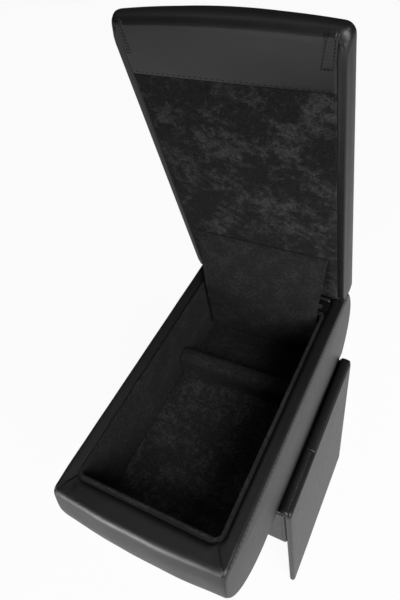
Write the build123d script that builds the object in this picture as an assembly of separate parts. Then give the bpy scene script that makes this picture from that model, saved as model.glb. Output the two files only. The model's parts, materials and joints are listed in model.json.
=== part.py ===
from build123d import *
import math
import os

# Car centre armrest: a padded box with a hinged lid on a saddle that sits over the console.
# Origin: middle of the saddle's seat. +X to the right, +Y to the rear, +Z up. Millimetres.

# Stock
COVER = 2.0            # leatherette on its thin foam backing
SKIN = 1.5             # plain leatherette on the cheeks and under the lid
VELOUR = 2.0           # lining cloth on its backing
BOARD = 9.0            # plywood of the box, the base and the lid
SIDE_BOARD = 11.0      # plywood of the box's sides
PANEL = 4.0            # bent hardboard
SEAT_GAP = 0.3         # between curved pieces that lie on each other

# Box
BOX_WIDTH = 164.0
BOX_HEIGHT = 105.0
FRONT_TO_HINGE = 282.0
HINGE_TO_REAR_EDGE = 18.0
REAR_BULGE = 20.0      # how far the rear bows out behind its edges
FRONT_CROWN = 4.0      # how far the front bows out ahead of its corners
FRONT_EDGE_R = 8.0     # rounding of the front top edge
FRONT_LEAN_R = 110.0   # the front's lean from its fullest level up to the edge
FRONT_SWEEP_R = 66.0   # the front's turn to the underside
FRONT_PAD = 13.5       # foam between cover and front board at the corners
PAD_LOW = 5.0          # foam under the bent panel
RIM_TURN = 6.0         # rim strip's height on the outside
RIM_GAP = 0.5          # groove between rim and liner lip

# Tub
FLOOR_HEIGHT = 34.0    # underside of the box to the floor of the tub
TUB_TO_HINGE = 17.0    # rear wall of the tub to the hinge pin
TUB_CORNER_R = 12.0
TUB_REAR_R = 4.0
TUB_PANEL_GAP = 1.0    # tub's swept front edge to the bent panel
LIP_WIDTH = 5.0
LIP_RISE = 2.5         # lip above the rim
LIP_OVERHANG = 0.5     # lip past the back of the liner wall
MAT = 2.0
MAT_GAP = 1.0
DIVIDER_FRONT = 162.5  # inside of the front wall to the divider
DIVIDER_HEIGHT = 28.0
DIVIDER_BOARD = 14.0
DIVIDER_TOP_R = 8.0

# Lid
LID_SETBACK = 6.5      # lid behind the box's fullest front
LID_EDGE = 22.0        # thickness at the sides
LID_CROWN = 8.0
LID_EDGE_R = 8.0
LID_LOW_R = 6.0        # rolled lower edge of the lid
LID_FRONT_R = 9.0
LID_REAR_LAP = 0.8     # lid behind the hinge pin
LID_BORDER = 6.5       # cover turned under the edge
LID_BAND = 36.5        # lid's front end to the band's seam
LID_OPEN = 80.5        # degrees from closed, as it stands at rest

# Hinges
HINGE_LENGTH = 40.0
LEAF_WIDTH = 15.0
LEAF = 1.5
KNUCKLE_R = 3.0
PIN_R = 1.5
PIN_RUN = 0.05         # running clearance round the pin
KNUCKLE_RUN = 0.3      # clearance beside and around the knuckles
SCREW_R = 1.5
SCREW_HEAD_R = 2.8
SCREW_LENGTH = 9.0
SCREW_INSET = 8.0      # hinge end to screw
SCREW_GAP = 0.05

# Flap over the hinge
FLAP = 1.2
FLAP_ON_LID = 70.0
FLAP_SIDE = 2.0        # rim's inner edge to the flap's top corner
FLAP_AIR = 0.5

# Base
BASE_SETBACK = 95.5    # front corner line of the box to the base
BASE_STEP = 10.5       # rear edge of the box past the base
BASE_HEIGHT = 89.5
BASE_WIDTH = 192.0
BASE_TOP_SPLIT = 72.0  # length of the front top cover
CHEEK_BOARD = 4.0
CHEEK_DROP = 165.0     # cheek below the seat
CHEEK_CORNER_R = 6.0
FIX_R = 2.0
FIX_HEAD_R = 4.0
FIX_HEAD = 2.5
FIX_INSET = 30.0

# Levels and lines that follow
Z_BOX = BASE_HEIGHT
Z_RIM = BASE_HEIGHT + BOX_HEIGHT
Z_MID = Z_BOX + BOX_HEIGHT / 2
Z_TUB = Z_BOX + FLOOR_HEIGHT
Z_FLOOR = Z_TUB - VELOUR
Z_RAIL = Z_RIM - COVER
Z_AXIS = Z_RAIL + KNUCKLE_R + KNUCKLE_RUN
Z_LID = Z_AXIS + KNUCKLE_R + KNUCKLE_RUN - LEAF
Z_LID_BOARD = Z_LID + LEAF
HALF = BOX_WIDTH / 2
HALF_BOARD = HALF - COVER
HALF_IN = HALF_BOARD - SIDE_BOARD
HALF_TUB = HALF_IN - VELOUR
HALF_LIP = HALF_IN + LIP_OVERHANG
HALF_RIM = HALF_LIP + RIM_GAP
HALF_BASE = BASE_WIDTH / 2
HINGE_SIDE = HALF_IN
FLAP_TOP_HALF = HALF_RIM - FLAP_SIDE
FLAP_LOW_HALF = HALF_TUB - TUB_REAR_R - FLAP_AIR
CHEEK = CHEEK_BOARD + 2 * SKIN
FRONT_TO_REAR_EDGE = FRONT_TO_HINGE + HINGE_TO_REAR_EDGE
LID_LENGTH = FRONT_TO_HINGE - LID_SETBACK + LID_REAR_LAP
BASE_LENGTH = FRONT_TO_REAR_EDGE - BASE_SETBACK - BASE_STEP
Y_BASE = -BASE_LENGTH / 2
Y_FRONT = Y_BASE - BASE_SETBACK
Y_AXIS = Y_FRONT + FRONT_TO_HINGE
Y_REAR = Y_FRONT + FRONT_TO_REAR_EDGE
Y_BOARD = Y_FRONT + COVER + FRONT_PAD
Y_TUB = Y_BOARD + BOARD
Y_TUB_REAR = Y_AXIS - TUB_TO_HINGE
Y_LIP = Y_TUB - LIP_OVERHANG
Y_LIP_REAR = Y_TUB_REAR + LIP_OVERHANG
Y_LEDGE = Y_AXIS + KNUCKLE_R + 2 * KNUCKLE_RUN
Y_LID_REAR = Y_AXIS + LID_REAR_LAP
Y_LID_FRONT = Y_LID_REAR - LID_LENGTH
Y_BOTTOM = Y_BOARD + FRONT_SWEEP_R - COVER - PAD_LOW
Z_FULL = Z_BOX + FRONT_SWEEP_R
Y_DIVIDER = Y_TUB + VELOUR + DIVIDER_FRONT
RAIL_HEIGHT = 2 * BOARD
CROWN_R = (HALF ** 2 + FRONT_CROWN ** 2) / (2 * FRONT_CROWN)
REAR_R = ((BOX_HEIGHT / 2) ** 2 + REAR_BULGE ** 2) / (2 * REAR_BULGE)
Y_REAR_CENTRE = Y_REAR + REAR_BULGE - REAR_R
LID_CROWN_R = (HALF ** 2 + LID_CROWN ** 2) / (2 * LID_CROWN)
FAR = 2 * (FRONT_TO_REAR_EDGE + LID_LENGTH)
SIDES = {"left": -1, "right": 1}


def block(x0, x1, y0, y1, z0, z1):
    """Rectangular solid between two corners."""
    place = Pos((x0 + x1) / 2, (y0 + y1) / 2, (z0 + z1) / 2)
    return place * Box(abs(x1 - x0), y1 - y0, z1 - z0)


def slab(outline, x0, x1):
    """A side view outline (Y, Z) carried across from x0 to x1."""
    face = Plane.YZ * make_face(outline)
    return Pos(min(x0, x1), 0, 0) * extrude(face, amount=abs(x1 - x0), dir=(1, 0, 0))


def prism(outline, z0, z1):
    """A plan outline (X, Y) carried up from z0 to z1."""
    return Pos(0, 0, z0) * extrude(make_face(outline), amount=z1 - z0, dir=(0, 0, 1))


def rounded_plan(half, y0, y1, front_r, rear_r):
    """Rectangle in plan with its own radius for the front and the rear corners."""
    face = Pos(0, (y0 + y1) / 2) * Rectangle(2 * half, y1 - y0)
    if rear_r > 0:
        face = fillet(face.vertices().sort_by(Axis.Y)[-2:], rear_r)
    return fillet(face.vertices().sort_by(Axis.Y)[:2], front_r)


def rear_line(z, inset):
    """Y of the bowed rear at height z, drawn in by inset."""
    return Y_REAR_CENTRE + math.sqrt((REAR_R - inset) ** 2 - (z - Z_MID) ** 2)


def edge_place():
    """Middle of the front top edge's rounding, from the fullest line of the front, and the angle where it ends."""
    rise = Z_RIM - FRONT_EDGE_R - Z_FULL
    across = math.sqrt((FRONT_LEAN_R - FRONT_EDGE_R) ** 2 - rise ** 2)
    return FRONT_LEAN_R - across, math.degrees(math.atan2(rise, across))


def front_arcs(full, inset):
    """The front's line below its top: rounded edge, lean and sweep, with the fullest line at that distance out."""
    back, end = edge_place()
    line = CenterArc((full - back, Z_RIM - FRONT_EDGE_R), FRONT_EDGE_R - inset, 90, end - 90)
    line += CenterArc((full - FRONT_LEAN_R, Z_FULL), FRONT_LEAN_R - inset, end, -end)
    return line + CenterArc((full - FRONT_SWEEP_R, Z_FULL), FRONT_SWEEP_R - inset, 0, -90)


def front_disc(inset):
    """The front's section turned about a far upright axis, which crowns it across the width."""
    top = Z_RIM - inset
    low = Z_BOX + inset
    outline = Polyline((CROWN_R - FRONT_SWEEP_R, low), (0, low), (0, top), (CROWN_R - edge_place()[0], top))
    outline += front_arcs(CROWN_R, inset)
    disc = revolve(Plane.XZ * make_face(outline), axis=Axis.Z)
    return Pos(0, Y_FRONT - FRONT_CROWN + CROWN_R, 0) * disc


def envelope(inset, half):
    """The box's outer form between -half and half, drawn in by inset all round in side view."""
    low = Z_BOX + inset
    top = Z_RIM - inset
    ahead = Y_FRONT - 2 * FRONT_CROWN
    rear = rear_line(top, inset)
    outline = Polyline((rear, low), (ahead, low), (ahead, top), (rear, top))
    outline += ThreePointArc((rear, top), (rear_line(Z_MID, inset), Z_MID), (rear, low))
    return front_disc(inset) & slab(outline, -half, half)


def rim_opening():
    """Prism through the top sheet over the tub and the hinge rail."""
    radius = TUB_CORNER_R + LIP_OVERHANG + RIM_GAP
    face = rounded_plan(HALF_RIM, Y_LIP - RIM_GAP, Y_REAR + FAR, radius, 0)
    return Pos(0, 0, Z_BOX) * extrude(face, amount=2 * BOX_HEIGHT, dir=(0, 0, 1))


def front_sector():
    """Prism over the front rim between the mitre lines of its two corners."""
    corner = Y_FRONT + edge_place()[0] - FRONT_EDGE_R
    slope = (Y_LIP - RIM_GAP - corner) / (HALF - HALF_RIM)
    apex = corner + slope * HALF
    ahead = Y_FRONT - 2 * FRONT_CROWN
    corners = [(-HALF, corner), (-HALF, ahead), (HALF, ahead), (HALF, corner), (0, apex)]
    return prism(Polyline(*corners, close=True), Z_BOX, Z_RIM + BOX_HEIGHT)


def cover_sheet():
    """Cover all round in side view, between the side covers."""
    return envelope(0, HALF_BOARD) - envelope(COVER, HALF)


def top_sheet():
    """Cover on top of the box, with the opening over the tub cut out."""
    top = block(-HALF, HALF, -FAR, FAR, Z_RIM - COVER, Z_RIM)
    return (envelope(0, HALF) & top) - rim_opening()


def make_covers():
    """Front, rear and side covers with the rim strips."""
    parts = {}
    under_top = block(-HALF, HALF, -FAR, FAR, Z_BOX, Z_RIM - COVER)
    sheet = cover_sheet() & under_top
    ahead = block(-HALF, HALF, -FAR, Y_AXIS, Z_BOX, Z_RIM)
    top = top_sheet()
    parts["front_cover"] = (sheet & ahead) + (top & front_sector())
    ledge = envelope(0, HALF_RIM) & block(-HALF_RIM, HALF_RIM, Y_LEDGE, FAR, Z_RIM - COVER, Z_RIM)
    parts["rear_cover"] = (sheet - ahead) + ledge
    strips = top - front_sector()
    form = envelope(0, HALF)
    for side, sign in SIDES.items():
        outer = block(sign * HALF_BOARD, sign * HALF, -FAR, FAR, Z_RIM - RIM_TURN, Z_RIM - COVER)
        half_space = block(0, sign * HALF, -FAR, FAR, Z_BOX, Z_RIM)
        parts[f"rim_strip_{side}"] = (strips & half_space) + (form & outer)
        panel = block(sign * HALF_BOARD, sign * HALF, -FAR, FAR, Z_BOX, Z_RIM - RIM_TURN)
        parts[f"side_cover_{side}"] = form & panel
    return parts


def side_board(sign):
    """Shaped side of the box: leaning front, swept turn to the underside, bowed rear."""
    low = Z_BOX + COVER
    top = Z_RIM - COVER
    inset = COVER + SEAT_GAP
    foot = CROWN_R - FRONT_LEAN_R
    bow = foot - math.sqrt(foot ** 2 - HALF_BOARD ** 2)
    full = Y_FRONT - FRONT_CROWN + bow + SEAT_GAP
    outline = mirror(front_arcs(-full, COVER), Plane.YZ)
    outline += Line((full + FRONT_SWEEP_R, low), (rear_line(low, inset), low))
    middle = (rear_line(Z_MID, inset), Z_MID)
    outline += ThreePointArc((rear_line(low, inset), low), middle, (rear_line(top, inset), top))
    outline += Line((rear_line(top, inset), top), (full + edge_place()[0], top))
    return slab(outline, sign * HALF_IN, sign * HALF_BOARD)


def sweep_centre():
    """Middle of the bent panel's turn in side view."""
    return Y_BOTTOM, Z_FULL


def front_panel():
    """Bent panel that carries the foam round the front's turn."""
    y, z = sweep_centre()
    outer = y - Y_BOARD
    inner = outer - PANEL
    outline = CenterArc((y, z), outer, 180, 90) + Line((y, z - outer), (y, z - inner))
    outline += CenterArc((y, z), inner, 270, -90) + Line((y - inner, z), (y - outer, z))
    return slab(outline, -HALF_IN, HALF_IN)


def front_foam():
    """Crowned pad between the front cover and the front board and panel."""
    y, z = sweep_centre()
    outer = y - Y_BOARD
    top = Z_RIM + BOX_HEIGHT
    outline = Polyline((y, z - outer), (y + FAR, z - outer), (y + FAR, top), (Y_BOARD, top), (Y_BOARD, z))
    outline += CenterArc((y, z), outer, 180, 90)
    behind = slab(outline, -HALF, HALF)
    reach = block(-HALF_IN, HALF_IN, -FAR, Y_BOTTOM, Z_BOX, Z_RIM - COVER)
    return (envelope(COVER, HALF_IN) & reach) - behind


def rear_panel():
    """Bent panel behind the rear board, on the rear's bow."""
    inset = COVER + SEAT_GAP
    low = Z_BOX + COVER + BOARD
    top = Z_RAIL - RAIL_HEIGHT
    outline = ThreePointArc((rear_line(low, inset), low), (rear_line(Z_MID, inset), Z_MID),
                            (rear_line(top, inset), top))
    inset += PANEL
    outline += Line(outline @ 1, (rear_line(top, inset), top))
    outline += ThreePointArc((rear_line(top, inset), top), (rear_line(Z_MID, inset), Z_MID),
                             (rear_line(low, inset), low))
    outline += Line((rear_line(low, inset), low), (rear_line(low, inset - PANEL), low))
    return slab(outline, -HALF_IN, HALF_IN)


def floor_start():
    """Y where the floor board clears the bent front panel."""
    y, z = sweep_centre()
    inner = y - Y_BOARD - PANEL
    drop = z - (Z_FLOOR - BOARD)
    return y - math.sqrt(inner ** 2 - drop ** 2) + SEAT_GAP


def make_carcass():
    """Boards and bent panels of the box."""
    parts = {f"side_board_{side}": side_board(sign) for side, sign in SIDES.items()}
    low = Z_BOX + COVER
    parts["front_board"] = block(-HALF_IN, HALF_IN, Y_BOARD, Y_TUB, sweep_centre()[1], Z_RIM - COVER)
    parts["front_panel"] = front_panel()
    rear_end = rear_line(low, COVER + SEAT_GAP)
    parts["bottom_board"] = block(-HALF_IN, HALF_IN, Y_BOTTOM, rear_end, low, low + BOARD)
    parts["floor_board"] = block(-HALF_IN, HALF_IN, floor_start(), Y_TUB_REAR, Z_FLOOR - BOARD, Z_FLOOR)
    rail_low = Z_RAIL - RAIL_HEIGHT
    parts["rear_board"] = block(-HALF_IN, HALF_IN, Y_TUB_REAR, Y_TUB_REAR + BOARD, low + BOARD, rail_low)
    rail_end = rear_line(Z_RAIL, COVER + SEAT_GAP)
    parts["hinge_rail"] = block(-HALF_IN, HALF_IN, Y_TUB_REAR, rail_end, rail_low, Z_RAIL)
    parts["rear_panel"] = rear_panel()
    parts["front_foam"] = front_foam()
    return parts


def tub_sweep():
    """Radius of the tub's lower front edge that just clears the bent panel round it."""
    y, z = sweep_centre()
    a = y - Y_TUB
    b = z - Z_FLOOR
    reach = y - Y_BOARD - PANEL - TUB_PANEL_GAP
    excess = a + b - reach
    return excess - math.sqrt(excess ** 2 - a ** 2 - b ** 2 + reach ** 2)


def tub(inset, z0, z1):
    """Solid form of the tub: swept lower front edge, rounded upright corners."""
    y0 = Y_TUB + inset
    y1 = Y_TUB_REAR - inset
    sweep = tub_sweep() - inset
    outline = Polyline((y0 + sweep, z0), (y1, z0), (y1, z1), (y0, z1), (y0, z0 + sweep))
    outline += CenterArc((y0 + sweep, z0 + sweep), sweep, 180, 90)
    plan = rounded_plan(HALF_IN - inset, y0, y1, TUB_CORNER_R - inset, TUB_REAR_R - inset)
    return slab(outline, -HALF_IN, HALF_IN) & (Pos(0, 0, z0) * extrude(plan, amount=z1 - z0, dir=(0, 0, 1)))


def liner():
    """Velour tub with its edge rolled over the rim."""
    wall = tub(0, Z_FLOOR, Z_RAIL) - tub(VELOUR, Z_TUB, Z_RAIL + VELOUR)
    front_r = TUB_CORNER_R + LIP_OVERHANG
    rear_r = TUB_REAR_R + LIP_OVERHANG
    outer = rounded_plan(HALF_LIP, Y_LIP, Y_LIP_REAR, front_r, rear_r)
    inner_half = HALF_LIP - LIP_WIDTH
    inner = rounded_plan(inner_half, Y_LIP + LIP_WIDTH, Y_LIP_REAR - LIP_WIDTH, front_r - LIP_WIDTH, 0)
    rise = Z_RIM + LIP_RISE - Z_RAIL
    lip = Pos(0, 0, Z_RAIL) * extrude(outer - inner, amount=rise, dir=(0, 0, 1))
    lip = fillet(lip.edges().group_by(Axis.Z)[-1], 0.4 * LIP_WIDTH)
    return wall + lip


def divider_form(inset):
    """Upright board with a rounded top, drawn in by inset."""
    thick = DIVIDER_BOARD + 2 * VELOUR
    top = Z_TUB + DIVIDER_HEIGHT - inset
    radius = DIVIDER_TOP_R - inset
    form = block(-HALF_TUB, HALF_TUB, Y_DIVIDER + inset, Y_DIVIDER + thick - inset, Z_TUB, top)
    return fillet(form.edges().filter_by(Axis.X).group_by(Axis.Z)[-1], radius)


def make_lining():
    """Velour lining of the box with its divider."""
    board = divider_form(VELOUR)
    parts = {"liner": liner(), "divider_board": board, "divider_cover": divider_form(0) - board}
    half = HALF_TUB - MAT_GAP
    front = Y_TUB + tub_sweep()
    parts["floor_mat"] = block(-half, half, front, Y_DIVIDER - MAT_GAP, Z_TUB, Z_TUB + MAT)
    return parts


def screw(gap, point, up):
    """Countersunk screw with its head at the point, running up or down."""
    head = SCREW_HEAD_R + gap
    shank = SCREW_R + gap
    length = SCREW_LENGTH + gap
    outline = Polyline((0, 0), (head, 0), (shank, -LEAF), (shank, -length), (0, -length), close=True)
    solid = revolve(Plane.XZ * make_face(outline), axis=Axis.Z)
    if up:
        solid = solid.rotate(Axis.X, 180)
    return Pos(*point) * solid


def screw_spots(sign):
    """Plan positions of one hinge's screws."""
    near = HINGE_SIDE - HINGE_LENGTH + SCREW_INSET
    far = HINGE_SIDE - SCREW_INSET
    y = Y_AXIS - (LEAF_WIDTH + KNUCKLE_R) / 2 - KNUCKLE_RUN
    return [(sign * near, y), (sign * far, y)]


def knuckle(x0, x1):
    """Bored knuckle on the hinge line between x0 and x1."""
    tube = Plane.YZ * (Circle(KNUCKLE_R) - Circle(PIN_R + PIN_RUN))
    return Pos(min(x0, x1), Y_AXIS, Z_AXIS) * extrude(tube, amount=abs(x1 - x0), dir=(1, 0, 0))


def hinge_leaf(sign, on_lid):
    """Leaf of a butt hinge: two end knuckles on the box, the middle one on the lid."""
    inner = HINGE_SIDE - HINGE_LENGTH
    third = HINGE_LENGTH / 3
    stops = [inner, inner + third, inner + 2 * third, HINGE_SIDE]
    kept = [(stops[1] + KNUCKLE_RUN, stops[2] - KNUCKLE_RUN)]
    if not on_lid:
        kept = [(stops[0], stops[1]), (stops[2], stops[3])]
    z0 = Z_LID if on_lid else Z_RAIL
    notch = Y_AXIS - KNUCKLE_R - KNUCKLE_RUN
    leaf = block(sign * inner, sign * HINGE_SIDE, Y_AXIS - LEAF_WIDTH, notch, z0, z0 + LEAF)
    for x0, x1 in kept:
        leaf += block(sign * x0, sign * x1, notch, Y_AXIS, z0, z0 + LEAF)
        leaf += knuckle(sign * x0, sign * x1)
    bore = Pos(0, Y_AXIS, Z_AXIS) * (Plane.YZ * Circle(PIN_R + PIN_RUN))
    leaf -= extrude(bore, amount=HALF, both=True)
    for x, y in screw_spots(sign):
        head = (x, y, z0) if on_lid else (x, y, z0 + LEAF)
        leaf -= screw(SCREW_GAP, head, on_lid)
    return leaf


def hinge_pin(sign):
    """Plain pin through the three knuckles."""
    pin = extrude(Plane.YZ * Circle(PIN_R), amount=HINGE_LENGTH, dir=(1, 0, 0))
    start = HINGE_SIDE - HINGE_LENGTH if sign > 0 else -HINGE_SIDE
    return Pos(start, Y_AXIS, Z_AXIS) * pin


def hinge_screws(on_lid, gap):
    """Screws of both hinges on the lid or on the box."""
    z = Z_LID if on_lid else Z_RAIL + LEAF
    spots = [spot for sign in SIDES.values() for spot in screw_spots(sign)]
    return [screw(gap, (x, y, z), on_lid) for x, y in spots]


def lid_form(inset):
    """Crowned lid in its closed place, drawn in by inset on the top and the sides."""
    front_r = LID_FRONT_R - inset
    plan = rounded_plan(HALF - inset, Y_LID_FRONT + inset, Y_LID_REAR - inset, front_r, 0)
    z0 = Z_LID + (LEAF if inset else 0)
    top = Z_LID + LID_EDGE + LID_CROWN - inset
    form = Pos(0, 0, z0) * extrude(plan, amount=2 * LID_EDGE, dir=(0, 0, 1))
    radius = LID_CROWN_R - inset
    crown = Pos(0, 0, top - radius) * Cylinder(radius, FAR, rotation=(90, 0, 0))
    form = form & crown
    edges = form.faces().sort_by(Axis.Z)[-1].edges()
    form = fillet(edges, LID_EDGE_R - inset)
    under = form.faces().sort_by(Axis.Z)[0].edges().sort_by(Axis.Y)[:-1]
    return fillet(under, LID_LOW_R - inset)


def lid_underside(y0, y1):
    """Sheet under the lid board between its borders, from y0 to y1."""
    half = HALF - LID_BORDER
    return block(-half, half, y0, y1, Z_LID, Z_LID_BOARD)


def make_lid():
    """Lid pieces in their closed place."""
    parts = {}
    inner = lid_form(COVER)
    under = lid_underside(Y_LID_FRONT + LID_BORDER, Y_LID_REAR + COVER)
    rear_open = block(-HALF, HALF, Y_LID_REAR - 2 * COVER, FAR, Z_LID, Z_LID_BOARD)
    parts["lid_cover"] = lid_form(0) - inner - under - rear_open
    split = Z_LID_BOARD + BOARD
    board_zone = block(-HALF, HALF, -FAR, FAR, Z_LID_BOARD, split)
    board = inner & board_zone
    parts["lid_foam"] = inner - board_zone
    seam = Y_LID_FRONT + LID_BAND
    parts["lid_front_band"] = lid_underside(Y_LID_FRONT + LID_BORDER, seam)
    lining = lid_underside(seam, Y_LID_REAR - 2 * COVER)
    for side, sign in SIDES.items():
        x0 = sign * (HINGE_SIDE - HINGE_LENGTH - KNUCKLE_RUN)
        x1 = sign * (HINGE_SIDE + KNUCKLE_RUN)
        y0 = Y_AXIS - LEAF_WIDTH - KNUCKLE_RUN
        lining -= block(x0, x1, y0, FAR, Z_LID, Z_LID_BOARD)
        parts[f"hinge_leaf_lid_{side}"] = hinge_leaf(sign, True)
    parts["lid_lining"] = lining
    for hole in hinge_screws(True, SCREW_GAP):
        board -= hole
    parts["lid_board"] = board
    parts["hinge_screws_lid"] = Compound(children=hinge_screws(True, 0))
    hinge_line = Axis((0, Y_AXIS, Z_AXIS), (1, 0, 0))
    return {name: shape.rotate(hinge_line, -LID_OPEN) for name, shape in parts.items()}


def hinge_flap():
    """Cloth from the lid's underside over the hinge and down the rear wall of the tub."""
    turn = math.radians(LID_OPEN)
    along = Vector(0, -math.cos(turn), math.sin(turn))
    front = Vector(0, -math.sin(turn), -math.cos(turn))
    under = Vector(0, Y_AXIS, Z_AXIS) - front * (Z_LID - Z_AXIS)
    lip_top = Z_RIM + LIP_RISE + FLAP_AIR
    lip_front = Y_LIP_REAR - LIP_WIDTH - FLAP_AIR
    sewn = under + along * FLAP_ON_LID + front * FLAP_AIR
    knee = Vector(0, Y_AXIS - KNUCKLE_R - FLAP_AIR, Z_AXIS + KNUCKLE_R + FLAP_AIR)
    line = [sewn, knee, Vector(0, lip_front, lip_top), Vector(0, lip_front, Z_TUB + FLAP_AIR)]
    drop = Vector(0, -FLAP, FLAP)
    away = [sewn + front * FLAP, knee + drop, line[2] + drop, line[3] + Vector(0, -FLAP, 0)]
    corners = [(p.Y, p.Z) for p in line + away[::-1]]
    sheet = slab(Polyline(*corners, close=True), -FLAP_TOP_HALF, FLAP_TOP_HALF)
    taper_top = Z_RIM + FLAP_ON_LID + BOARD
    taper_low = Z_RIM + BOARD
    right = [(FLAP_LOW_HALF, Z_BOX), (FLAP_LOW_HALF, taper_low), (FLAP_TOP_HALF, taper_top)]
    left = [(-x, z) for x, z in reversed(right)]
    plan = Plane.XZ * make_face(Polyline(*right, *left, close=True))
    return sheet & extrude(plan, amount=FAR, both=True)


def make_hinges():
    """Hinge pieces that stay on the box, and the rail's screw holes."""
    parts = {"hinge_flap": hinge_flap()}
    for side, sign in SIDES.items():
        parts[f"hinge_leaf_box_{side}"] = hinge_leaf(sign, False)
        parts[f"hinge_pin_{side}"] = hinge_pin(sign)
    parts["hinge_screws_box"] = Compound(children=hinge_screws(False, 0))
    return parts


def cheek_form(sign, inset):
    """Upright plate with rounded corners in side view, drawn in by inset."""
    face = Rectangle(BASE_LENGTH - 2 * inset, BASE_HEIGHT + CHEEK_DROP - 2 * inset)
    face = fillet(face.vertices(), CHEEK_CORNER_R - inset)
    face = Plane.YZ * (Pos(0, (BASE_HEIGHT - CHEEK_DROP) / 2) * face)
    start = HALF_BASE - CHEEK + inset if sign > 0 else -HALF_BASE + inset
    return Pos(start, 0, 0) * extrude(face, amount=CHEEK - 2 * inset, dir=(1, 0, 0))


def box_fixings(gap):
    """Screws up through the base top into the box's bottom board."""
    z0 = BASE_HEIGHT - COVER - BOARD
    z1 = Z_BOX + COVER + BOARD / 2
    solids = []
    for x in (-FIX_INSET, FIX_INSET):
        for y in (Y_BASE + FIX_INSET, -Y_BASE - FIX_INSET):
            head = Pos(x, y, z0 - FIX_HEAD / 2) * Cylinder(FIX_HEAD_R, FIX_HEAD)
            shank = Pos(x, y, (z0 + z1) / 2) * Cylinder(FIX_R + gap, z1 - z0)
            solids.append(head + shank)
    return solids


def cheek_fixings(gap):
    """Screws through the cheek boards into the ends of the base top and seat boards."""
    face = HALF_BASE - SKIN
    tip = HALF_BASE - CHEEK - 2 * BOARD
    solids = []
    for sign in SIDES.values():
        for z in (BOARD / 2, BASE_HEIGHT - COVER - BOARD / 2):
            for y in (Y_BASE + FIX_INSET, -Y_BASE - FIX_INSET):
                shank = Cylinder(FIX_R + gap, face - tip, rotation=(0, 90, 0))
                solids.append(Pos(sign * (face + tip) / 2, y, z) * shank)
    return solids


def make_base():
    """Saddle: boards between two long cheeks, with their covers."""
    parts = {}
    top = BASE_HEIGHT - COVER
    half = HALF_BASE - CHEEK
    half_wood = half + SKIN
    y0 = Y_BASE + COVER
    y1 = -y0
    upper = top - BOARD
    parts["base_top_board"] = block(-half_wood, half_wood, y0, y1, upper, top)
    parts["base_front_board"] = block(-half_wood, half_wood, y0, y0 + BOARD, BOARD, upper)
    parts["base_rear_board"] = block(-half_wood, half_wood, y1 - BOARD, y1, BOARD, upper)
    parts["seat_board"] = block(-half, half, y0, y1, 0, BOARD)
    parts["base_front_cover"] = block(-half, half, Y_BASE, y0, 0, top)
    parts["base_rear_cover"] = block(-half, half, y1, -Y_BASE, 0, top)
    split = Y_BASE + BASE_TOP_SPLIT
    parts["base_top_cover_front"] = block(-half, half, Y_BASE, split, top, BASE_HEIGHT)
    parts["base_top_cover_rear"] = block(-half, half, split, -Y_BASE, top, BASE_HEIGHT)
    for side, sign in SIDES.items():
        board = cheek_form(sign, SKIN)
        glued = block(sign * half, sign * half_wood, y0, y1, BOARD, top)
        parts[f"cheek_board_{side}"] = board
        parts[f"cheek_cover_{side}"] = cheek_form(sign, 0) - board - glued
    parts["box_fixings"] = Compound(children=box_fixings(0))
    parts["cheek_fixings"] = Compound(children=cheek_fixings(0))
    return parts


def drill(parts, names, holes):
    """Cut the holes into each named piece."""
    for name in names:
        for hole in holes:
            parts[name] = parts[name] - hole


def make_armrest():
    """All pieces by node name."""
    parts = {**make_carcass(), **make_covers(), **make_lining(), **make_hinges(), **make_base()}
    drill(parts, ["hinge_rail"], hinge_screws(False, SCREW_GAP))
    through = ["base_top_board", "base_top_cover_front", "base_top_cover_rear"]
    through += ["front_cover", "rear_cover", "bottom_board"]
    drill(parts, through, box_fixings(SCREW_GAP))
    held = [f"cheek_{layer}_{side}" for layer in ("board", "cover") for side in SIDES]
    held += ["base_top_board", "seat_board"]
    drill(parts, held, cheek_fixings(SCREW_GAP))
    parts.update(make_lid())
    return parts


os.makedirs("parts", exist_ok=True)
for node, shape in make_armrest().items():
    export_step(shape, f"parts/{node}.step")
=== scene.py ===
import json
import math

import bpy
import numpy as np
from mathutils import Matrix, Vector


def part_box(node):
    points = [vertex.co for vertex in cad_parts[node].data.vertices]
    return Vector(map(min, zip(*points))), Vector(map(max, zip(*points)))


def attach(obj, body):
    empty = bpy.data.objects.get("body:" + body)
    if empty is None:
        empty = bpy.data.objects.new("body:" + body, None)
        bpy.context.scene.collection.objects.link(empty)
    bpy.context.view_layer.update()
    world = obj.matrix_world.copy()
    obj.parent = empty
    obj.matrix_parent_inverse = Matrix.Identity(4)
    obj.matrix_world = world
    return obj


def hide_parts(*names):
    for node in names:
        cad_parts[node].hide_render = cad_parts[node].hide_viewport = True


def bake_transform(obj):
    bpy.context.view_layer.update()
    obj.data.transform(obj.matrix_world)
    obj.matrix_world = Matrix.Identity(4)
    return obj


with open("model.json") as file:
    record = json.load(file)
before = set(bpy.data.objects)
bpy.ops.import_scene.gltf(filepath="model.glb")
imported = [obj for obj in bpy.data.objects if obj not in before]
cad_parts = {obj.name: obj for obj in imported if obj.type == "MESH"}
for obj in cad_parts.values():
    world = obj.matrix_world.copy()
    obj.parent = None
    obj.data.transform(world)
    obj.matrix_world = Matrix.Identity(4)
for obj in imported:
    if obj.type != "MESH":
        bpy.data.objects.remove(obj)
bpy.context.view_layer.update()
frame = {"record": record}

# Lengths are millimetres in the shared frame, and become metres when a mesh is made.
MM = 0.001


def low(node, axis):
    """Lowest coordinate of a CAD node along an axis."""
    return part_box(node)[0][axis] / MM


def high(node, axis):
    """Highest coordinate of a CAD node along an axis."""
    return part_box(node)[1][axis] / MM


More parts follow.
